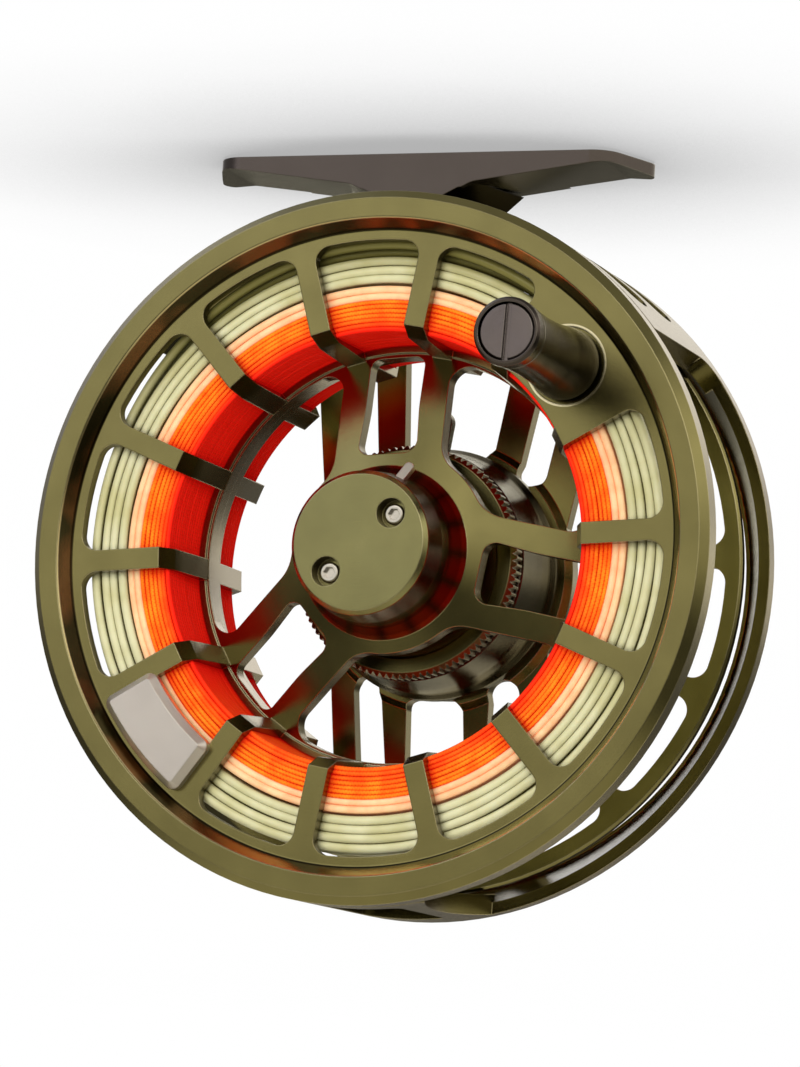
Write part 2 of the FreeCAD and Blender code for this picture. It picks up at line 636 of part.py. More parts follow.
def make_frame():
    frame = rear_ring().fuse([top_wall(), lower_wall(), back_plate()])
    top = slot_outline(TOP_SLOT, (12.9, 2.05), (41.0, 2.05))
    low = slot_outline(LOW_SLOT, (-14.6, 2.1), (-41.8, 2.0))
    for outline in (top, mirror_x(top), low, mirror_x(low)):
        frame = frame.cut(prism(outline, *Y_CUT))
    ports = [port(*PORT_BOTTOM, 6.4, 24.6, 1.4)]
    for y0, y1 in SLOT_TOP_Y:
        ports += [port(*SLOT_TOP, y0, y1, 3.0),
                  port(180 - SLOT_TOP[1], 180 - SLOT_TOP[0], y0, y1, 3.0)]
    frame = frame.cut(ports)
    y0, y1 = Y_PL0 - 1, Y_PL1 + 1
    frame = frame.cut(cylinder(R_NECK, y0, y1))
    for at in THRUST_PINS:
        frame = frame.cut(cylinder(1.06, y0, y1, at))
    for at in HOUSING_SCREWS:
        frame = frame.cut(cylinder(1.06, y0, y1, at)).cut(cylinder(1.75, Y_PL1 - 1.1, y1, at))
    # detent pocket
    frame = frame.cut(cylinder(0.88, Y_PL1 - 1.7, y1, DETENT))
    # foot screw holes, countersunk from inside the wall
    for y in FOOT_SCREWS:
        frame = frame.cut(z_cylinder(1.25, y, 44, 8))
        frame = frame.cut(z_cone(2.45, 1.2, y, R_WALL_IN - 0.05, 1.3))
        frame = frame.cut(z_cylinder(2.45, y, R_WALL_IN - 1.0, 1.0))
    return frame


# ------------------------------------------------------------------ reel foot
FOOT_PLAN = [       # right half seen along Z: x, y, fillet
    (28.6, Y_FOOT0, 4.0), (31.2, 15.5, 5.0), (32.5, 19.0, 3.0), (31.2, Y_FOOT1, 3.2)]
FOOT_SIDE = [       # right half seen along Y: x, z[, fillet]
    (34, Z_FOOT), (34, 54.4), (28.2, 54.8, 2.0), (9.0, 52.15, 3.0), (7.5, 51.4)]
# pedestal sections at the front and near the rear: x, z
PEDESTAL_FRONT = [(-8.9, 52.3), (8.9, 52.3), (4.9, 50.3), (4.4, 47.5), (-4.4, 47.5), (-4.9, 50.3)]
PEDESTAL_REAR = [(-12.8, 52.3), (12.8, 52.3), (10.2, 50.0), (9.6, 47.5), (-9.6, 47.5),
                 (-10.2, 50.0)]


def reel_foot():
    plan = Part.Face(outline_wire(symmetric(FOOT_PLAN), lambda a, b: Vector(a, b, 40)))
    plan = plan.extrude(Vector(0, 0, 30))
    blade = prism(symmetric(FOOT_SIDE), Y_FOOT0 - 1, Y_FOOT1 + 1).common(plan)
    front = outline_wire(PEDESTAL_FRONT, lambda a, b: Vector(a, Y_FOOT0, b))
    rear = outline_wire(PEDESTAL_REAR, lambda a, b: Vector(a, Y_FOOT1 - 0.6, b))
    foot = blade.fuse(Part.makeLoft([front, rear], True, True))
    foot = foot.cut(cylinder(R_RIM, 0, 30))
    # small bevel along the underside's rear edge
    bevel = polygon_face([Vector(-40, Y_FOOT1 - 0.7, 53.6), Vector(-40, Y_FOOT1 + 0.1, 53.6),
                          Vector(-40, Y_FOOT1 + 0.1, Z_FOOT - 0.5)])
    foot = foot.cut(bevel.extrude(Vector(80, 0, 0)))
    for y in FOOT_SCREWS:
        foot = foot.cut(z_cylinder(1.12, y, 45, 9.0))
    return foot


def foot_screw(y):
    screw = z_cone(2.35, 1.08, y, R_WALL_IN, 1.25)
    screw = screw.fuse(z_cylinder(1.08, y, R_WALL_IN + 1.0, 6.6))
    return screw.cut(z_cylinder(0.7, y, R_WALL_IN - 0.1, 0.8))


# ------------------------------------------------------------------ drag housing
def drag_housing():
    house = revolved([
        (R_BOWL, Y_MOUTH + 0.15), (14.75, Y_MOUTH), (16.1, Y_MOUTH), (16.4, Y_MOUTH + 0.3),
        (16.85, 25.6, 3), (17.2, 27.3, 2), (17.9, 28.6, 0.5), (17.9, Y_PL0),
        (R_NECK, Y_PL0), (R_NECK, Y_FLOOR), (R_BOWL, Y_FLOOR)])
    for at in THRUST_PINS:
        house = house.cut(cylinder(1.06, 27, Y_PL0 + 1, at))
    for at in HOUSING_SCREWS:
        house = house.cut(cylinder(0.85, 26.5, Y_PL0 + 1, at))
    # ear that carries the click pawl, with the pawl pin's hole
    ear = block(16.0, 19.1, 4.4, 1.5, 3.4).fuse(cylinder(1.7, 19.1, 20.6, (R_PAWL, 0)))
    house = house.fuse(turn(ear, PAWL_A)).cut(cylinder(0.62, 18, 21.5, PAWL_PIN))
    # trim the ear flush with the inside of the bowl
    return house.cut(cylinder(R_BOWL, 18, Y_FLOOR))


def housing_screw(at):
    screw = cylinder(0.8, 27.2, Y_PL1 - 0.5, at)
    screw = screw.fuse(cylinder(1.6, Y_PL1 - 1.1, Y_PL1 - 0.1, at))
    return screw.cut(hexagon(1.5, Y_PL1 - 0.75, Y_PL1 + 1, at=at))


# ------------------------------------------------------------------ spindle and drive
def make_spindle():
    spindle = revolved([
        (0, -0.3), (2.0, -0.3), (R_SPINDLE, 0.2), (R_SPINDLE, 0.95), (2.2, 1.15), (2.2, 2.25),
        (R_SPINDLE, 2.45), (R_SPINDLE, 27.2), (5.0, 27.2), (5.0, Y_FLOOR), (4.0, Y_FLOOR),
        (4.0, 35.4), (3.0, 35.7), (3.0, 38.0), (0, 38.0)])
    return spindle.cut(cylinder(1.02, 33.4, 39))


def spindle_nut():
    y_rear = 34.2
    envelope = revolved([(0, Y_PL1), (6.5, Y_PL1), (6.5, 33.9), (6.0, y_rear), (0, y_rear)])
    return hexagon(11.5, Y_PL1, y_rear).common(envelope).cut(cylinder(4.03, 30, 36))


def drive_hub():
    y0, y1 = 5.0, 16.85         # hexagonal part
    envelope = revolved([(0, y0), (6.9, y0), (7.6, 5.6), (7.6, y1), (0, y1)])
    drive = hexagon(HEX_AF, y0, y1).common(envelope)
    drive = drive.fuse(cylinder(6.4, 16.8, 26.2))
    # front bearing seat, bore, rear bearing seat
    drive = drive.cut(cylinder(R_SEAT, 4.0, 9.6)).cut(cylinder(2.75, 4.0, 27))
    return drive.cut(cylinder(R_SEAT, 22.4, 27.0))


def ball_bearing(y0, y1):
    """Inner race, outer race and balls."""
    n_balls = 8
    ball_radius = 0.62
    r_in, r_out = R_SPINDLE + 0.03, 5.0
    y_mid, r_mid = 0.5 * (y0 + y1), 0.5 * (r_in + r_out)
    groove = Part.makeTorus(r_mid, ball_radius + 0.03, Vector(0, y_mid, 0), Y_AXIS)
    races = [tube(r_in, r_mid - 0.32, y0, y1).cut(groove),
             tube(r_mid + 0.32, r_out, y0, y1).cut(groove)]
    centres = [polar(r_mid, 360.0 / n_balls * k) for k in range(n_balls)]
    return races + [Part.makeSphere(ball_radius, Vector(x, y_mid, z)) for x, z in centres]


def click_gear():
    """Toothed ring on the drive hub, in front of the housing mouth."""
    tooth = 360.0 / N_TEETH
    outline = []
    for k in range(N_TEETH):
        outline += [polar(R_GEAR - 0.55, tooth * k),
                    polar(R_GEAR, tooth * (k + 0.36)),
                    polar(R_GEAR, tooth * (k + 0.64))]
    r_in, r_out = HEX_AF / sqrt(3.0) - 1.2, R_GEAR + 0.3
    envelope = revolved([
        (r_in, 16.9), (13.2, 16.9), (13.7, Y_GEAR0), (15.6, Y_GEAR0), (r_out, 16.6),
        (r_out, Y_GEAR1), (r_in, Y_GEAR1)])
    gear = prism(outline, Y_GEAR0, Y_GEAR1).common(envelope)
    gear = gear.cut(cylinder(R_HUB_BORE, 15, 20))
    gear = gear.cut([cylinder(0.86, 15, 20, polar(R_GEAR_SCREW, a)) for a in THIRDS])
    return turn(gear, GEAR_A)


GEAR_SCREWS = [polar(R_GEAR_SCREW, a + GEAR_A) for a in THIRDS]


def gear_backing_plate():
    """Plate behind the gear that the gear is screwed to."""
    y0, y1 = 18.55, 18.9
    plate = revolved([(R_HUB_BORE, y0), (13.4, y0), (13.4, y1), (R_HUB_BORE, y1)])
    return plate.cut([cylinder(0.86, 18, 20, at) for at in GEAR_SCREWS])


def gear_screw(at):
    screw = cylinder(0.8, 16.5, 18.88, at).fuse(cylinder(1.5, 16.0, 16.9, at))
    return screw.cut(hexagon(1.3, 15.5, 16.5, at=at))


def drag_rotor():
    """Flanged sleeve with three key slots, driven through the one-way clutch."""
    rotor = revolved([(8.55, 19.0), (13.4, 19.0), (13.4, 20.0), (10.1, 20.0),
                      (10.1, 26.0), (8.55, 26.0)])
    return rotor.cut([turn(block(9.6, 20.0, 1.2, 8, 2.0), a) for a in THIRDS])


def one_way_clutch():
    """Outer sleeve and rollers."""
    n_rollers = 10
    rollers = [cylinder(0.72, 19.6, 25.4, polar(7.18, 360.0 / n_rollers * k))
               for k in range(n_rollers)]
    return [tube(7.95, 8.5, 19.2, 25.8)] + rollers


# ------------------------------------------------------------------ drag stack
def carbon_washer(k):
    y = Y_STACK + k * (STEP_CARBON + STEP_STEEL)
    return tube(10.2, 13.4, y, y + T_CARBON)


def steel_washer(k):
    """Washer with three outer tabs."""
    y = Y_STACK + k * (STEP_CARBON + STEP_STEEL) + STEP_CARBON
    tabs = [turn(block(13.7, y, 0.75, T_STEEL, 2.2), a) for a in (60, 180, 300)]
    return tube(10.4, 14.0, y, y + T_STEEL).fuse(tabs)


def drag_spring_washer():
    """Shallow cone, its outer edge towards the stack."""
    y = Y_STACK_END
    return revolved([(10.5, y + 0.35), (10.5, y + 0.75), (13.6, y + 0.45), (13.6, y + 0.05)])


def pressure_plate():
    plate = tube(7.4, 14.0, Y_STACK_END + 1.35, Y_STACK_END + 2.35)
    # recess in the front round the rotor's end
    return plate.cut(cylinder(10.3, Y_STACK_END + 1.0, 26.45))


# ------------------------------------------------------------------ drag knob
Y_KNOB0, Y_KNOB1 = Y_PL1 + 0.4, 41.0    # front and rear ends


def drag_knob():
    y0, y1 = Y_KNOB0, Y_KNOB1
    knob = revolved([
        (12.0, y0), (14.2, y0), (14.6, y0 + 0.4), (14.6, y1 - 2.0, 1.2), (12.6, y1, 1.0),
        (11.0, y1), (10.6, y1 - 0.7), (7.2, y1 - 0.7), (6.9, y1 - 0.3), (0, y1 - 0.3),
        (0, 38.3), (3.2, 38.3), (3.2, 36.0), (11.3, 36.0), (11.3, 34.3), (12.0, 33.6)])
    # ring groove in the front face, on the detent ball's circle
    r_in, r_out = R_DETENT - 0.78, R_DETENT + 0.78
    knob = knob.cut(revolved([(r_in, y0 - 1), (r_out, y0 - 1), (r_out, y0 + 0.6),
                              (r_in, y0 + 0.6)]))
    # scallops round the outside
    for k in range(10):
        knob = knob.cut(cylinder(3.4, y0 + 1.4, y1 + 1, polar(17.0, 36.0 * k + 9)))
    # screw hole and counterbore
    return knob.cut(cylinder(1.08, 30, 45)).cut(cylinder(2.68, y1 - 1.9, 45))


def knob_screw():
    screw = cylinder(1.0, 34.0, Y_KNOB1 - 1.5)
    screw = screw.fuse(cylinder(2.6, Y_KNOB1 - 1.85, Y_KNOB1 - 0.6))
    return screw.cut(hexagon(2.5, Y_KNOB1 - 1.4, 45))


# ------------------------------------------------------------------ click pawl
def click_pawl():
    """Stands with its tip over a tooth crest."""
    y0, y1 = 16.9, Y_GEAR1
    r_tip = R_GEAR + 0.04
    eye = cylinder(1.45, y0, y1, (R_PAWL, 0))
    finger = prism([(R_PAWL, -1.35), (17.3, -0.95), (r_tip, -0.12),
                    (r_tip, 0.12), (17.3, 0.95), (R_PAWL, 1.35)], y0, y1)
    pawl = eye.fuse(finger).cut(cylinder(0.64, 15, 20, (R_PAWL, 0)))
    return turn(pawl, PAWL_A)


def pawl_pin():
    return cylinder(0.6, 16.6, 20.6, PAWL_PIN).fuse(cylinder(1.0, 16.25, 16.65, PAWL_PIN))


def pawl_spring():
    """Flat ring round the pin, between pawl and ear."""
    return tube(0.75, 1.2, 18.56, 18.98).translated(Vector(PAWL_PIN[0], 0, PAWL_PIN[1]))


# ------------------------------------------------------------------ export
export("spool", spooled(make_spool()))
export("spool_cap", spooled(spool_cap()))
export("release_latch", at_latch(release_latch()))
export("latch_spring", at_latch(coil(radius=0.42, wire_radius=0.11, length=1.15, turns=4.0,
                                     base=Vector(-8.75, 1.6, 0), direction=X_AXIS)))
export_group("cap_screws", [spooled(cap_screw(at)) for at in CAP_SCREWS])

export("handle_post", at_handle(handle_post()))
export("handle_knob", at_handle(handle_knob()))
export_group("handle_bushings", [at_handle(handle_bushing(y0, y1))
                                 for y0, y1 in ((Y_POST, -16.2), (-5.4, -0.2))])
export("handle_screw", at_handle(handle_screw()))
export("counterweight", spooled(turn(counterweight(), 180)))
export_group("counterweight_screws", [spooled(counterweight_screw(at)) for at in WEIGHT_SCREWS])

export("backing_line", spooled(backing_line()))
export("running_line", spooled(tube(R_BACK + LINE_GAP, R_RUN, *Y_LINE)))
export("fly_line", spooled(tube(R_RUN + LINE_GAP, R_FLY, *Y_LINE)))

export("frame", make_frame())
export("reel_foot", reel_foot())
export_group("foot_screws", [foot_screw(y) for y in FOOT_SCREWS])
export("drag_housing", drag_housing())
export_group("housing_screws", [housing_screw(at) for at in HOUSING_SCREWS])

export("spindle", make_spindle())
export("spindle_nut", spindle_nut())
export("drive_hub", spooled(drive_hub()))
export_group("front_bearing", ball_bearing(5.3, 9.3))
export_group("rear_bearing", ball_bearing(22.5, 26.1))
export("click_gear", click_gear())
export("gear_backing_plate", gear_backing_plate())
export_group("gear_screws", [gear_screw(at) for at in GEAR_SCREWS])
export("drag_rotor", drag_rotor())
export_group("one_way_clutch", one_way_clutch())

export_group("carbon_drag_washers", [carbon_washer(k) for k in range(N_CARBON)])
export_group("steel_drag_washers", [steel_washer(k) for k in range(N_CARBON - 1)])
export("drag_spring_washer", drag_spring_washer())
export("pressure_plate", pressure_plate())
export_group("thrust_pins", [cylinder(1.0, Y_STACK_END + 2.4, 34.4, at) for at in THRUST_PINS])
export("drag_seal", Part.makeTorus(14.0, 0.5, Vector(0, 19.55, 0), Y_AXIS))

export("drag_cam", tube(4.07, 11.2, 34.7, 35.9))
export("drag_knob", drag_knob())
export("knob_screw", knob_screw())
export("detent_ball", Part.makeSphere(0.8, Vector(DETENT[0], Y_PL1, DETENT[1])))
export("detent_spring", coil(radius=0.55, wire_radius=0.12, length=0.6, turns=2.0,
                             base=Vector(DETENT[0], Y_PL1 - 1.55, DETENT[1]),
                             direction=Y_AXIS))

export("click_pawl", click_pawl())
export("pawl_pin", pawl_pin())
export("pawl_spring", pawl_spring())
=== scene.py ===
"""Fly reel: finishes, wound line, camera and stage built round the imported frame.

Scene units are metres, with the origin in the middle of the foot's flat top. The reel hangs
below its foot: +Z is up, the front faces -Y and +X is on the right seen from the front.
Drawing dimensions are millimetres about the spool axis, which runs along Y through
x = 0, z = 0, with y = 0 in the plane of the rim's front edge.
"""
import bpy
import math
import numpy as np
from functools import partial, reduce
from mathutils import Vector, Matrix


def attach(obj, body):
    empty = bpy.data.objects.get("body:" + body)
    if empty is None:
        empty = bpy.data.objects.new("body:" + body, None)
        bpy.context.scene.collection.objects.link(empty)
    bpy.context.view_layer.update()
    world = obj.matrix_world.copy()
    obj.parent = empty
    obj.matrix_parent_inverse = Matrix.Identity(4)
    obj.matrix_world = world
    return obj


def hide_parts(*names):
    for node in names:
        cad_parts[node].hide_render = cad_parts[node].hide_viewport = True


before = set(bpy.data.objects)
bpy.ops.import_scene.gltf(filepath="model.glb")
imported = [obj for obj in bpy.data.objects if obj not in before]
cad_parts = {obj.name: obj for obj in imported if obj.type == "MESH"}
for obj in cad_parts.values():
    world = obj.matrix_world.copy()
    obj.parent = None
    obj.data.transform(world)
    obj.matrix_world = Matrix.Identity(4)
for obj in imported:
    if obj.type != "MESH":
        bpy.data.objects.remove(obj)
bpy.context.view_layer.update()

FOOT_TOP = (0.0, 15.0, 56.3)    # the scene origin, in drawing millimetres
MM_PER_METRE = 1000.0

HANDLE_ANGLE = math.radians(42.2)
HANDLE_RADIUS = 36.8
HANDLE_CENTRE = (HANDLE_RADIUS * math.cos(HANDLE_ANGLE), HANDLE_RADIUS * math.sin(HANDLE_ANGLE))

STRAND_UV = "strand"            # u: millimetres along the strand, v: turns round it


def to_scene(points):
    """Drawing millimetres to scene metres."""
    return (np.asarray(points) - FOOT_TOP) / MM_PER_METRE


def add_object(name, data):
    obj = bpy.data.objects.new(name, data)
    bpy.context.scene.collection.objects.link(obj)
    return obj


# ------------------------------------------------------------------ node helpers
class Graph:
    """Builds shader nodes. Any value may be a number, a tuple or another node's output."""

    def __init__(self, tree):
        self.tree = tree
        tree.nodes.clear()

    def put(self, socket, value):
        if isinstance(value, bpy.types.NodeSocket):
            self.tree.links.new(value, socket)
        elif socket.type == "RGBA":
            socket.default_value = (*value, 1.0)
        else:
            socket.default_value = value

    def node(self, kind, inputs=(), **settings):
        """Inputs are a list in socket order, or a dict by socket name or index."""
        node = self.tree.nodes.new(kind)
        for key, value in settings.items():
            setattr(node, key, value)
        pairs = inputs.items() if isinstance(inputs, dict) else enumerate(inputs)
        for key, value in pairs:
            self.put(node.inputs[key], value)
        return node

    def math(self, operation, *values):
        return self.node("ShaderNodeMath", values, operation=operation).outputs[0]

    def mul(self, *factors):
        return reduce(partial(self.math, "MULTIPLY"), factors)

    def max(self, first, second):
        return self.math("MAXIMUM", first, second)

    def vector_math(self, operation, *values):
        return self.node("ShaderNodeVectorMath", values, operation=operation).outputs

    def xyz(self, vector):
        return self.node("ShaderNodeSeparateXYZ", [vector]).outputs

    def remap(self, value, span, to=(0.0, 1.0), **settings):
        """Carry the span's two ends to the two values in `to`, clamped beyond them."""
        return self.node("ShaderNodeMapRange", [value, *span, *to], **settings).outputs[0]

    def mix(self, factor, first, second, blend_type="MIX"):
        node = self.node("ShaderNodeMix", data_type="RGBA", blend_type=blend_type)
        for index, value in ((0, factor), (6, first), (7, second)):
            self.put(node.inputs[index], value)
        return node.outputs[2]

    def mix_shader(self, factor, first, second):
        return self.node("ShaderNodeMixShader", [factor, first, second]).outputs[0]

    def radius(self, x, z, centre=None):
        """Distance from an axis along Y, the spool's own unless a centre (x, z) is given."""
        if centre is not None:
            x = self.math("SUBTRACT", x, centre[0])
            z = self.math("SUBTRACT", z, centre[1])
        return self.math("SQRT", self.math("ADD", self.mul(x, x), self.mul(z, z)))

    def ring(self, radius, inner, outer, gain=1.0):
        """Mask of a ring that fades in over the inner span and out over the outer one."""
        return self.mul(self.remap(radius, span=inner, to=(0.0, gain)),
                        self.remap(radius, span=outer, to=(1.0, 0.0)))


class Material(Graph):
    def __init__(self, name):
        self.data = bpy.data.materials.new(name)
        self.data.use_nodes = True
        super().__init__(self.data.node_tree)
        self.output = self.node("ShaderNodeOutputMaterial")

    def surface(self, shader):
        self.put(self.output.inputs[0], shader)

    def principled(self, inputs):
        self.surface(self.node("ShaderNodeBsdfPrincipled", inputs).outputs[0])

    def drawing_point(self):
        """Surface position in drawing millimetres."""
        position = self.node("ShaderNodeTexCoord").outputs["Object"]
        return self.node("ShaderNodeMapping", {
            "Vector": position, "Location": FOOT_TOP, "Scale": (MM_PER_METRE,) * 3}).outputs[0]

    def noise(self, point, scale, detail, roughness=0.55):
        return self.node("ShaderNodeTexNoise", {
            "Vector": point, "Scale": scale, "Detail": detail,
            "Roughness": roughness}).outputs["Fac"]

    def bump(self, height, strength, distance, normal=None):
        inputs = {"Height": height, "Strength": strength, "Distance": distance}
        if normal is not None:
            inputs["Normal"] = normal
        return self.node("ShaderNodeBump", inputs).outputs[0]

    def openness(self, distance, samples):
        return self.node("ShaderNodeAmbientOcclusion", {"Distance": distance},
                         samples=samples).outputs["AO"]

    def facing_out(self, point, geometry):
        """Cosine between the surface normal and the outward radius from the spool axis."""
        flat = self.vector_math("MULTIPLY", point, (1.0, 0.0, 1.0))["Vector"]
        outward = self.vector_math("NORMALIZE", flat)["Vector"]
        return self.vector_math("DOT_PRODUCT", outward, geometry["Normal"])["Value"]


def scaled(colour, factor):
    return tuple(channel * factor for channel in colour)


# ------------------------------------------------------------------ metal finishes
def spool_paint(mat, point, colour, geometry):
    """Painted light on the spool: a highlight at the handle's seat lip, a reflection on the
    arbor bars, shade on the cut walls, and light and shade on the rim's cone.
    """
    normal_y = mat.xyz(geometry["Normal"])[1]
    x, y, z = mat.xyz(point)
    radius = mat.radius(x, z)

    # painted highlight on the lip round the handle's seat, on the front face
    seat_lip_highlight = mat.ring(mat.radius(x, z, HANDLE_CENTRE), inner=(5.28, 5.36), outer=(5.62, 5.72))
    seat_front = mat.remap(y, span=(0.95, 1.0), to=(1.0, 0.0))
    colour = mat.mix(mat.mul(seat_lip_highlight, seat_front), colour, (0.95, 0.88, 0.62))

    # painted reflection on the inner faces of the arbor bars, most of all their rear halves
    bar_painted_reflection = mat.mul(
        mat.remap(mat.facing_out(point, geometry), span=(-0.55, -0.90), to=(0.0, 0.68)),
        mat.max(mat.remap(y, span=(12.5, 14.0)), mat.remap(y, span=(4.4, 6.0), to=(0.0, 0.45))),
        mat.remap(radius, span=(27.6, 28.2)),
        mat.remap(radius, span=(30.2, 31.5), to=(1.0, 0.0)))
    colour = mat.mix(bar_painted_reflection, colour, (0.70, 0.65, 0.645))

    # painted shade, dark brown, on walls cut through the face; the front of the hub is the same
    # dark brown all over
    wall = mat.mul(
        mat.remap(mat.math("ABSOLUTE", normal_y), span=(0.75, 0.35), to=(0.0, 0.62)),
        mat.remap(radius, span=(43.2, 43.5), to=(1.0, 0.0)),
        mat.max(mat.remap(y, span=(4.2, 6.0), to=(1.0, 0.30)),
                mat.remap(radius, span=(27.0, 28.0), to=(1.0, 0.0))))
    hub = mat.mul(mat.remap(radius, span=(12.2, 12.5), to=(0.72, 0.0)),
                  mat.remap(y, span=(6.9, 7.4), to=(1.0, 0.0)))
    colour = mat.mix(mat.max(wall, hub), colour, (0.055, 0.034, 0.016))

    # painted shade and light: the rim's inner cone is dark at the upper left and light at the
    # lower right
    cone = mat.mul(mat.ring(radius, inner=(43.72, 43.82), outer=(44.98, 45.10)),
                   mat.remap(y, span=(0.84, 0.90), to=(1.0, 0.0)), 0.8)
    patches = mat.remap(mat.noise(point, scale=0.09, detail=2.0), span=(0.45, 0.56))
    tone = mat.mix(patches, (0.022, 0.015, 0.006), (0.250, 0.100, 0.036))
    cone_radius = 44.4
    upper_left = mat.math("ADD", mat.mul(x, -0.85 / cone_radius), mat.mul(z, 0.5 / cone_radius))
    tone = mat.mix(mat.remap(upper_left, span=(-0.55, 0.15)), (0.50, 0.45, 0.20), tone)
    colour = mat.mix(cone, colour, tone)

    # painted shade: dark line in the corner at the foot of the cone; painted highlight: bright
    # line along its outer edge
    front = mat.remap(y, span=(1.00, 1.06), to=(1.0, 0.0))
    cone_foot_shade = mat.ring(radius, inner=(43.62, 43.74), outer=(43.90, 44.02), gain=0.85)
    colour = mat.mix(mat.mul(cone_foot_shade, front), colour, (0.012, 0.008, 0.003))
    rim_edge_highlight = mat.ring(radius, inner=(44.98, 45.05), outer=(45.13, 45.20), gain=0.75)
    return mat.mix(mat.mul(rim_edge_highlight, front), colour, (0.85, 0.70, 0.40))


def cap_paint(mat, point, colour, geometry):
    """Painted shade on the turned side of the cap, deeper towards the back."""
    normal_y = mat.xyz(geometry["Normal"])[1]
    y = mat.xyz(point)[1]
    side = mat.mul(mat.remap(mat.math("ABSOLUTE", normal_y), span=(0.60, 0.25)),
                   mat.remap(y, span=(-1.75, -0.9), to=(0.35, 0.92)))
    return mat.mix(side, colour, (0.060, 0.028, 0.014))


def frame_paint(mat, point, colour, geometry):
    """Faces turned towards the axis lie in the reel's own shade, so they are kept deeper."""
    inward = mat.remap(mat.facing_out(point, geometry), span=(-0.10, -0.55), to=(0.0, 0.80))
    return mat.mix(inward, colour, (0.045, 0.038, 0.014))


def foot_paint(mat, point, colour, geometry):
    """The underside of the foot gets painted shade, a deeper black than its upper side."""
    normal_z = mat.xyz(geometry["Normal"])[2]
    underside = mat.remap(normal_z, span=(-0.25, -0.70), to=(0.0, 0.85))
    return mat.mix(underside, colour, (0.022, 0.019, 0.019))


def turning_marks(mat, point, centre, strength, normal):
    """Concentric marks about an axis along Y through the centre."""
    x, y, z = mat.xyz(point)
    profile = mat.node("ShaderNodeCombineXYZ", [mat.radius(x, z, centre), y]).outputs[0]
    grooves = mat.noise(profile, scale=7.0, detail=4.0, roughness=0.75)
    return mat.bump(grooves, strength=strength, distance=0.00004, normal=normal)


def metal(name, parts, base, roughness, edge=None, edge_gain=0.55, bevel=0.00022, mottle=0.10,
          grain=0.35, turned=0.0, centre=(0.0, 0.0), metallic=1.0, graze=None,
          graze_outward_only=False, paint=None):
    """Finish the named parts: rounded edges that catch light, with a painted highlight, fine
    grain, turning marks.

    edge and graze are the colours of the painted highlight on edges and of the painted
    reflection on surfaces seen at a low angle; bevel is in metres; grain and turned are relief
    strengths; paint adds each part's local tones, mostly painted light and shade.
    """
    mat = Material(name)
    point = mat.drawing_point()
    geometry = mat.node("ShaderNodeNewGeometry").outputs
    broad = mat.noise(point, scale=0.11, detail=2.0)
    fine = mat.noise(point, scale=9.0, detail=3.0, roughness=0.6)
    normal = mat.node("ShaderNodeBevel", {"Radius": bevel}, samples=4).outputs[0]

    colour = mat.mix(mat.remap(broad, span=(0.3, 0.7)),
                     scaled(base, 1 - mottle), scaled(base, 1 + mottle))
    # painted highlight in the edge colour along the rounded edges
    if edge is not None:
        flatness = mat.vector_math("DOT_PRODUCT", normal, geometry["Normal"])["Value"]
        edge_highlight_mask = mat.remap(flatness, span=(0.992, 0.86))
        colour = mat.mix(mat.mul(edge_highlight_mask, edge_gain), colour, edge)
    # painted reflection in the graze colour on surfaces seen at a low angle
    if graze is not None:
        facing = mat.node("ShaderNodeLayerWeight", {"Blend": 0.5}).outputs["Facing"]
        graze_reflection_mask = mat.remap(facing, span=(0.56, 0.88), to=(0.0, 0.80))
        if graze_outward_only:
            outward = mat.remap(mat.facing_out(point, geometry), span=(-0.35, 0.10))
            graze_reflection_mask = mat.mul(graze_reflection_mask, outward)
        colour = mat.mix(graze_reflection_mask, colour, graze)
    if paint is not None:
        colour = paint(mat, point, colour, geometry)

    fine_gloss = mat.remap(fine, span=(0.3, 0.7), to=(roughness - 0.04, roughness + 0.04))
    broad_gloss = mat.remap(broad, span=(0.3, 0.7), to=(-0.02, 0.03))
    if turned > 0:
        normal = turning_marks(mat, point, centre, turned, normal)
    pits = mat.noise(point, scale=26.0, detail=2.0, roughness=0.6)
    mat.principled({
        "Base Color": colour,
        "Metallic": metallic,
        "Roughness": mat.math("ADD", fine_gloss, broad_gloss),
        "Normal": mat.bump(pits, strength=grain, distance=0.00002, normal=normal)})

    for part in parts.split():
        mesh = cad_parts[part].data
        mesh.materials.clear()
        mesh.materials.append(mat.data)
        for polygon in mesh.polygons:
            polygon.material_index = 0


OLIVE = (0.285, 0.256, 0.108)
CREAM = (0.80, 0.72, 0.48)
LILAC = (0.47, 0.41, 0.42)


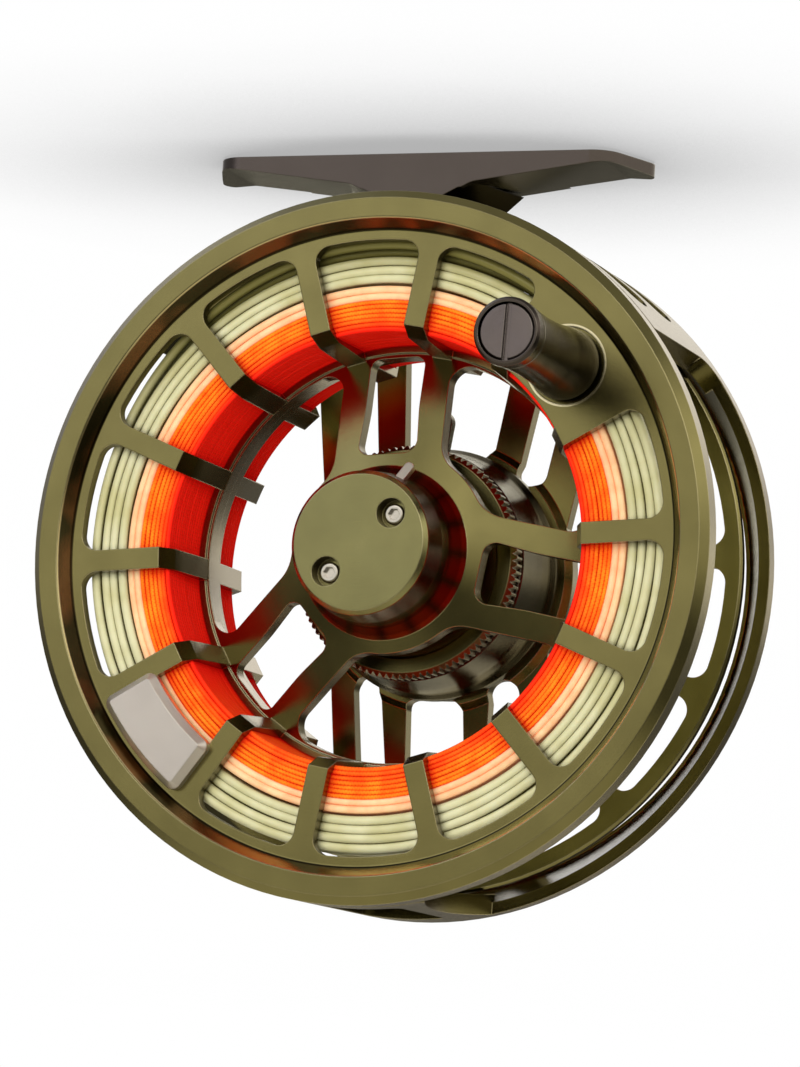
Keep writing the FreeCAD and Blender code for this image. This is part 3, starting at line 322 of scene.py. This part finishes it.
def finish_parts():
    metal("olive_spool", "spool", base=OLIVE, roughness=0.17, edge=CREAM, edge_gain=0.85,
          turned=0.15, graze=LILAC, paint=spool_paint)
    metal("olive_cap", "spool_cap", base=(0.335, 0.320, 0.150), roughness=0.22, edge=CREAM,
          edge_gain=0.85, turned=0.3, graze=LILAC, paint=cap_paint)
    metal("olive_frame", "frame", base=(0.180, 0.155, 0.056), roughness=0.16, edge=CREAM,
          edge_gain=0.75, turned=0.15, graze=(0.40, 0.345, 0.365), graze_outward_only=True,
          paint=frame_paint)
    metal("olive_gear", "click_gear", base=(0.22, 0.20, 0.09), roughness=0.20, edge=CREAM,
          turned=0.5, graze=LILAC)
    metal("olive_knob", "drag_knob", base=OLIVE, roughness=0.2, edge=CREAM, turned=0.4,
          graze=LILAC)
    metal("foot_black_nickel", "reel_foot", base=(0.120, 0.102, 0.098), roughness=0.17,
          edge=(0.6, 0.58, 0.55), bevel=0.00018, mottle=0.05, paint=foot_paint)
    metal("handle_black_nickel", "handle_knob", base=(0.085, 0.070, 0.064), roughness=0.15,
          edge=(0.55, 0.53, 0.5), turned=0.6, centre=HANDLE_CENTRE, bevel=0.00015)
    metal("handle_screw_nickel", "handle_screw", base=(0.185, 0.160, 0.165), roughness=0.18,
          edge=(0.6, 0.56, 0.55), turned=0.5, centre=HANDLE_CENTRE, bevel=0.00015)
    metal("silver_blasted", "counterweight", base=(0.97, 0.91, 0.90), roughness=0.42,
          edge=(0.8, 0.78, 0.77), grain=0.9, mottle=0.05)
    metal("polished_steel",
          "spindle front_bearing rear_bearing one_way_clutch thrust_pins knob_screw"
          " detent_ball click_pawl pawl_pin",
          base=(0.78, 0.78, 0.78), roughness=0.12, edge=(0.95, 0.95, 0.95), grain=0.12,
          mottle=0.04)
    metal("screw_bright", "cap_screws", base=(0.80, 0.77, 0.75), roughness=0.14,
          edge=(1.0, 0.98, 0.95), edge_gain=0.9, turned=0.2, bevel=0.00012)
    metal("latch_satin", "release_latch", base=(0.96, 0.92, 0.90), roughness=0.36,
          edge=(1.0, 0.97, 0.95), grain=0.4)
    metal("turned_steel",
          "handle_post counterweight_screws latch_spring foot_screws housing_screws spindle_nut"
          " drive_hub gear_backing_plate gear_screws drag_rotor steel_drag_washers"
          " drag_spring_washer pressure_plate drag_cam detent_spring pawl_spring",
          base=(0.50, 0.50, 0.51), roughness=0.28, edge=(0.8, 0.8, 0.8), turned=0.9)
    metal("housing_dark_gloss", "drag_housing", base=(0.105, 0.088, 0.050), roughness=0.13,
          edge=(0.35, 0.32, 0.33), turned=0.4, bevel=0.0003)
    metal("carbon_disc", "carbon_drag_washers", base=(0.03, 0.03, 0.032), roughness=0.5,
          metallic=0.0, edge=(0.1, 0.1, 0.1), turned=0.4)
    metal("seal_rubber", "drag_seal", base=(0.018, 0.018, 0.018), roughness=0.6, metallic=0.0,
          grain=0.8)
    metal("acetal_bush", "handle_bushings", base=(0.55, 0.53, 0.46), roughness=0.4,
          metallic=0.0)


# ------------------------------------------------------------------ line materials
def backing_painted_shade(mat, point, colour):
    """Painted shade: crimson near the arbor, held back low on the coil."""
    x, _, z = mat.xyz(point)
    outer = mat.remap(mat.radius(x, z), span=(30.2, 32.5))
    low = mat.remap(z, span=(-30.0, -17.0), to=(0.55, 0.0))
    return mat.mix(mat.max(outer, low), (1.0, 0.013, 0.004), colour)


def fly_painted_shade(mat, point, colour):
    """Painted shade on the outer turns of the coil's upper side, where it lies under the cage
    wall.
    """
    x, _, z = mat.xyz(point)
    under_wall = mat.mul(mat.remap(mat.radius(x, z), span=(38.8, 41.0)),
                         mat.remap(z, span=(12.0, 30.0)))
    return mat.mix(under_wall, colour, (0.20, 0.18, 0.05))


def braid(mat, colour):
    """Two crossing sets of spiral plaits: returns the colour and the relief."""
    pitch = 0.52            # millimetres along the strand
    starts = 1.0            # spirals in each set
    full_turn = 6.2832
    u, v, _ = mat.xyz(mat.node("ShaderNodeUVMap", uv_map=STRAND_UV).outputs[0])
    waves = []
    for operation in ("ADD", "SUBTRACT"):
        spiral = mat.math(operation, mat.math("DIVIDE", u, pitch), mat.mul(v, starts))
        waves.append(mat.math("SINE", mat.mul(spiral, full_turn)))
    height = mat.remap(mat.max(*waves), span=(-0.9, 1.0), to=(0.35, 1.0))
    # painted shade in the hollows between the plaits
    return (mat.mix(height, (0.60, 0.025, 0.003), colour),
            mat.bump(height, strength=0.6, distance=0.00006))


def line_material(name, colours, roughness, gap_shade_colour, gap_distance, gap_span=(0.12, 0.62),
                  patch_scale=0.45, tone=None, braided=False, lump=0.12, specular=0.5,
                  subsurface=0.0, painted_glow=None):
    """Coated or braided line in two patchy colours, painted shade in gap_shade_colour between
    strands.

    gap_distance (metres) and gap_span set how the shaded gaps are found; lump is the coating's
    relief strength; painted_glow is the (colour, strength) of emission painted on for a
    fluorescent dye.
    """
    mat = Material(name)
    point = mat.drawing_point()
    patches = mat.noise(point, scale=patch_scale, detail=2.0)
    colour = mat.mix(mat.remap(patches, span=(0.35, 0.65)), *colours)
    if tone is not None:
        colour = tone(mat, point, colour)
    if braided:
        colour, normal = braid(mat, colour)
    else:
        lumps = mat.noise(point, scale=4.0, detail=2.0)
        normal = mat.bump(lumps, strength=lump, distance=0.00008)
    # painted shade between the strands, where ambient occlusion finds them close together
    in_open = mat.remap(mat.openness(gap_distance, samples=4), span=gap_span)
    inputs = {
        "Base Color": mat.mix(in_open, gap_shade_colour, colour),
        "Roughness": roughness,
        "Normal": normal,
        "Specular IOR Level": specular}
    if subsurface > 0:
        inputs["Subsurface Weight"] = subsurface
        inputs["Subsurface Radius"] = (0.0012, 0.0008, 0.0004)
        inputs["Subsurface Scale"] = 0.5
    # painted glow: emission on a line that is no lamp, for its fluorescent dye
    if painted_glow:
        inputs["Emission Color"], inputs["Emission Strength"] = painted_glow
    mat.principled(inputs)
    return mat.data


# ------------------------------------------------------------------ wound line
def unit(vectors):
    return vectors / np.linalg.norm(vectors, axis=1)[:, None]


def strand(path, radius, sides):
    """Vertices, quads and quad UVs of one closed round tube along the path."""
    count = len(path)
    along = unit(np.roll(path, -1, 0) - np.roll(path, 1, 0))
    across = unit(np.cross(along, unit(path * (1, 0, 1))))
    outward = np.cross(across, along)
    angle = np.linspace(0, 2 * np.pi, sides, endpoint=False)[None, :, None]
    points = path[:, None, :] + radius * (
        np.cos(angle) * outward[:, None, :] + np.sin(angle) * across[:, None, :])

    i = np.arange(count)[:, None]
    j = np.arange(sides)[None, :]
    next_i = (i + 1) % count
    next_j = (j + 1) % sides
    quads = np.stack([i * sides + j, i * sides + next_j,
                      next_i * sides + next_j, next_i * sides + j], -1)

    steps = np.linalg.norm(np.diff(path, axis=0), axis=1)
    arc = np.concatenate([[0], np.cumsum(steps)])
    total = arc[-1] + np.linalg.norm(path[0] - path[-1])
    u0, u1 = arc[:, None], np.append(arc[1:], total)[:, None]
    v0, v1 = j / sides, (j + 1) / sides
    corners = ((u0, v0), (u0, v1), (u1, v1), (u1, v0))
    uvs = np.stack([np.stack(np.broadcast_arrays(u, v), -1) for u, v in corners], 2)
    return points.reshape(-1, 3), quads.reshape(-1, 4), uvs.reshape(-1, 2)


def strands_object(name, paths, radius, sides, material):
    """One smooth mesh of closed strands. Paths and radius are in drawing millimetres."""
    points, quads, uvs = [], [], []
    first = 0
    for path in paths:
        tube_points, tube_quads, tube_uvs = strand(path, radius, sides)
        points.append(tube_points)
        quads.append(tube_quads + first)
        uvs.append(tube_uvs)
        first += len(tube_points)
    points = to_scene(np.concatenate(points))
    quads = np.concatenate(quads)

    mesh = bpy.data.meshes.new(name)
    mesh.vertices.add(len(points))
    mesh.vertices.foreach_set("co", points.astype(np.float32).ravel())
    mesh.loops.add(quads.size)
    mesh.loops.foreach_set("vertex_index", quads.astype(np.int32).ravel())
    mesh.polygons.add(len(quads))
    starts = np.arange(0, quads.size, 4, dtype=np.int32)
    mesh.polygons.foreach_set("loop_start", starts)
    mesh.polygons.foreach_set("loop_total", np.full(len(quads), 4, dtype=np.int32))
    mesh.update(calc_edges=True)
    mesh.polygons.foreach_set("use_smooth", np.ones(len(quads), bool))
    uv_layer = mesh.uv_layers.new(name=STRAND_UV)
    uv_layer.data.foreach_set("uv", np.concatenate(uvs).astype(np.float32).ravel())
    mesh.validate()
    mesh.materials.append(material)
    return add_object(name, mesh)


def wobble(angle, amplitude, seed):
    """Smooth random waver round a turn, from a few harmonics."""
    random = np.random.default_rng(seed)
    total = np.zeros_like(angle)
    for k in (2, 3, 5, 9):
        total += random.normal() / math.sqrt(k) * np.sin(k * angle + random.uniform(0, 6.28))
    return amplitude * total / 1.6


def circle_path(angle, radius, y):
    return np.stack([radius * np.cos(angle), y, radius * np.sin(angle)], -1)


def wind(name, replaced, inner, outer, front, rear, diameter, material, sides, segments,
         waver, seed, extra=()):
    """Level-wound rings between two radii and two y planes, riding on the spool.

    The innermost and the two outermost layers are full; the rest have only the wraps near
    both flanges, where they show. All lengths are drawing millimetres.
    """
    flange_wraps = 4
    half = diameter / 2
    layer_radii = []
    radius = inner + half
    while radius + half <= outer + 0.35 * diameter:
        layer_radii.append(radius)
        radius += diameter * 0.90

    angle = np.linspace(0, 2 * np.pi, segments, endpoint=False)
    width = rear - front - diameter
    wraps = int(width / (diameter * 1.02)) + 1
    paths = []
    for layer, radius in enumerate(layer_radii):
        full = layer < 1 or layer >= len(layer_radii) - 2
        shift = 0.0 if layer % 2 == 0 else 0.35 * diameter
        for k in range(wraps):
            if not full and flange_wraps <= k < wraps - flange_wraps:
                continue
            y = front + half + width * k / (wraps - 1)
            if 0 < k < wraps - 1:
                y += shift
            y = min(max(y, front + half), rear - half)
            wrap_seed = seed + layer * 1000 + k * 7
            ys = np.clip(y + wobble(angle, waver, wrap_seed + 1),
                         front + half - 0.05, rear - half + 0.05)
            paths.append(circle_path(angle, radius + wobble(angle, waver * 0.5, wrap_seed), ys))
    obj = strands_object(name, [*paths, *extra], half * 1.02, sides, material)
    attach(obj, "spool")
    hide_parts(replaced)


# loose turns of the fly line: radius, y, angle of the lifted part in degrees, lift
LOOSE_TURNS = (
    (41.10, 3.75, 110.0, 1.20),
    (41.05, 6.2, 120.0, 0.85),
    (41.0, 10.5, 104.0, 0.8),
    (41.1, 17.0, 112.0, 0.9),
)


def loose_turns():
    """Turns that stand off the pack; their angle number also sets the phase of the waver."""
    angle = np.linspace(0, 2 * np.pi, 220, endpoint=False)
    paths = []
    for base_radius, y, lifted_at, lift in LOOSE_TURNS:
        rise = lift * np.maximum(0.0, np.cos(angle - np.radians(lifted_at))) ** 2
        radius = base_radius + rise + 0.10 * np.sin(3 * angle + lifted_at)
        paths.append(circle_path(angle, radius, y + 0.35 * np.sin(2 * angle + lifted_at)))
    return paths


def wind_lines():
    orange = line_material(
        "braid_orange", colours=((1.0, 0.17, 0.006), (1.0, 0.31, 0.014)), roughness=0.6,
        gap_shade_colour=(0.60, 0.0, 0.002), gap_distance=0.0030, gap_span=(0.25, 0.78),
        braided=True, painted_glow=((1.0, 0.004, 0.002), 0.16), tone=backing_painted_shade, specular=0.2)
    peach = line_material(
        "coated_peach", colours=((0.96, 0.52, 0.27), (0.98, 0.66, 0.37)), roughness=0.36,
        gap_shade_colour=(0.85, 0.24, 0.10), gap_distance=0.0013, subsurface=0.15,
        painted_glow=((1.0, 0.45, 0.2), 0.05))
    sage = line_material(
        "coated_sage", colours=((0.57, 0.54, 0.28), (0.71, 0.69, 0.44)), roughness=0.26,
        gap_shade_colour=(0.085, 0.070, 0.015), gap_distance=0.0014, gap_span=(0.24, 0.78),
        subsurface=0.10, tone=fly_painted_shade, patch_scale=0.16, lump=0.06)
    wind("backing_strands", "backing_line", inner=30.0, outer=34.4,
         front=3.0, rear=25.9, diameter=0.70, material=orange, sides=8, segments=150,
         waver=0.12, seed=11)
    wind("running_strands", "running_line", inner=34.35, outer=36.7,
         front=2.95, rear=25.95, diameter=1.08, material=peach, sides=10, segments=180,
         waver=0.14, seed=5000)
    wind("fly_strands", "fly_line", inner=36.6, outer=40.3, front=2.9, rear=26.0,
         diameter=1.38, material=sage, sides=12, segments=200, waver=0.26, seed=9000,
         extra=loose_turns())


# ------------------------------------------------------------------ camera
def add_camera():
    """In front of the reel and to its right, looking a little upward, slightly rolled."""
    azimuth, elevation, roll = (math.radians(a) for a in (21.145, -7.926, 3.5515))
    forward = Vector((-math.sin(azimuth) * math.cos(elevation),
                      math.cos(azimuth) * math.cos(elevation),
                      -math.sin(elevation)))
    level_right = Vector((math.cos(azimuth), math.sin(azimuth), 0.0))
    level_up = level_right.cross(forward)
    right = math.cos(roll) * level_right + math.sin(roll) * level_up
    up = -math.sin(roll) * level_right + math.cos(roll) * level_up

    camera = bpy.data.cameras.new("camera")
    camera.lens = 161.232427
    camera.sensor_width = 36.0
    camera.clip_start, camera.clip_end = 0.01, 100.0
    obj = add_object("camera", camera)
    pose = Matrix((right, up, -forward)).transposed().to_4x4()
    pose.translation = Vector(to_scene((236.1, -597.0, -87.6)))
    obj.matrix_world = pose
    bpy.context.scene.camera = obj


# ------------------------------------------------------------------ stage
def stage_material(name, brightness):
    """Pale matt surface with a soft contact shade, seen only from the side it faces."""
    mat = Material(name)
    drift = mat.noise(mat.drawing_point(), scale=0.004, detail=2.0)
    pale = (brightness,) * 3
    colour = mat.mix(mat.remap(drift, span=(0.3, 0.7)), scaled(pale, 0.997), pale)
    contact = mat.remap(mat.openness(0.060, samples=12), span=(0.35, 0.97), to=(0.45, 1.0))
    colour = mat.mix(1.0, colour, contact, blend_type="MULTIPLY")
    mat.surface(mat.mix_shader(
        mat.node("ShaderNodeNewGeometry").outputs["Backfacing"],
        mat.node("ShaderNodeEmission", [colour]).outputs[0],
        mat.node("ShaderNodeBsdfTransparent").outputs[0]))
    return mat.data


def stage_plane(name, z, material, face):
    """Wide level square that only the camera sees."""
    half = 3.0
    mesh = bpy.data.meshes.new(name)
    corners = [(-half, -half, z), (half, -half, z), (half, half, z), (-half, half, z)]
    mesh.from_pydata(corners, [], [face])
    mesh.materials.append(material)
    obj = add_object(name, mesh)
    obj.visible_diffuse = False
    obj.visible_glossy = False
    obj.visible_transmission = False
    obj.visible_shadow = False


def add_stage():
    seat_material = stage_material("stage_pale_seat", brightness=1.0)
    floor_material = stage_material("stage_pale_floor", brightness=0.995)
    # the seat faces down onto the foot, the floor faces up
    stage_plane("stage_seat", z=0.0004, material=seat_material, face=(3, 2, 1, 0))
    stage_plane("stage_floor", z=-0.135, material=floor_material, face=(0, 1, 2, 3))


# ------------------------------------------------------------------ world and lights
def add_world():
    """Soft studio seen in reflections, by direction; plain white to the camera."""
    world = bpy.data.worlds.new("studio")
    bpy.context.scene.world = world
    world.use_nodes = True
    sky = Graph(world.node_tree)
    smooth = partial(sky.remap, interpolation_type="SMOOTHSTEP")
    x, y, z = sky.xyz(sky.node("ShaderNodeTexCoord").outputs["Generated"])

    above = smooth(z, span=(-0.16, 0.34), to=(0.0, 1.05))
    # behind the reel, dimmed in a band a little below the horizon
    band = sky.max(smooth(z, span=(-0.05, 0.10), to=(0.04, 1.0)),
                   smooth(z, span=(-0.46, -0.32), to=(1.0, 0.04)))
    rear = sky.mul(smooth(y, span=(0.15, 0.75), to=(0.0, 0.84)), band)
    # dim at the far left, with a lift over the whole left part
    far_left = smooth(sky.mul(x, -1.0), span=(0.50, 0.85), to=(1.0, 0.22))
    left_lift = smooth(x, span=(-0.46, -0.30), to=(1.30, 1.0))
    # a soft dip a little above the horizon, and a dark top close to the seat
    dip = sky.max(smooth(z, span=(0.150, 0.200), to=(1.0, 0.70)),
                  smooth(z, span=(0.235, 0.310), to=(0.0, 1.0)))
    top = smooth(z, span=(0.52, 0.80), to=(1.0, 0.20))
    light = sky.mul(sky.max(above, rear), far_left, left_lift, sky.mul(dip, top))
    below = smooth(z, span=(-0.66, -0.42), to=(0.45, 0.0))
    everywhere = 0.09
    strength = sky.math("ADD", sky.max(light, below), everywhere)

    cool = sky.mul(smooth(z, span=(0.02, 0.26)), smooth(x, span=(-0.44, -0.26), to=(1.0, 0.35)))
    tint = sky.mix(cool, (1.0, 0.93, 0.70), (1.0, 0.985, 0.99))
    studio = sky.node("ShaderNodeBackground", [tint, strength])
    white = sky.node("ShaderNodeBackground", [(1.0, 1.0, 1.0), 1.0])
    camera_ray = sky.node("ShaderNodeLightPath").outputs["Is Camera Ray"]
    shader = sky.mix_shader(camera_ray, studio.outputs[0], white.outputs[0])
    sky.node("ShaderNodeOutputWorld", [shader])


def fill_light(name, location, power):
    """Square area light aimed at the spool, kept out of reflections."""
    size = 0.9
    target = (0, 0, -0.056)
    light = bpy.data.lights.new(name, "AREA")
    light.energy = power
    light.shape = "RECTANGLE"
    light.size = size
    light.size_y = size
    obj = add_object(name, light)
    obj.location = location
    aim = Vector(target) - Vector(location)
    obj.rotation_mode = "QUATERNION"
    obj.rotation_quaternion = aim.to_track_quat("-Z", "Y")
    obj.visible_glossy = False
    obj.visible_camera = False


finish_parts()
wind_lines()
add_camera()
add_stage()
add_world()
fill_light("front_fill", location=(0.05, -1.1, -0.02), power=10.5)
fill_light("back_fill", location=(-0.35, 1.1, 0.0), power=5.0)
fill_light("side_fill", location=(1.1, 0.35, 0.0), power=3.0)
bpy.context.scene.view_settings.view_transform = "Standard"
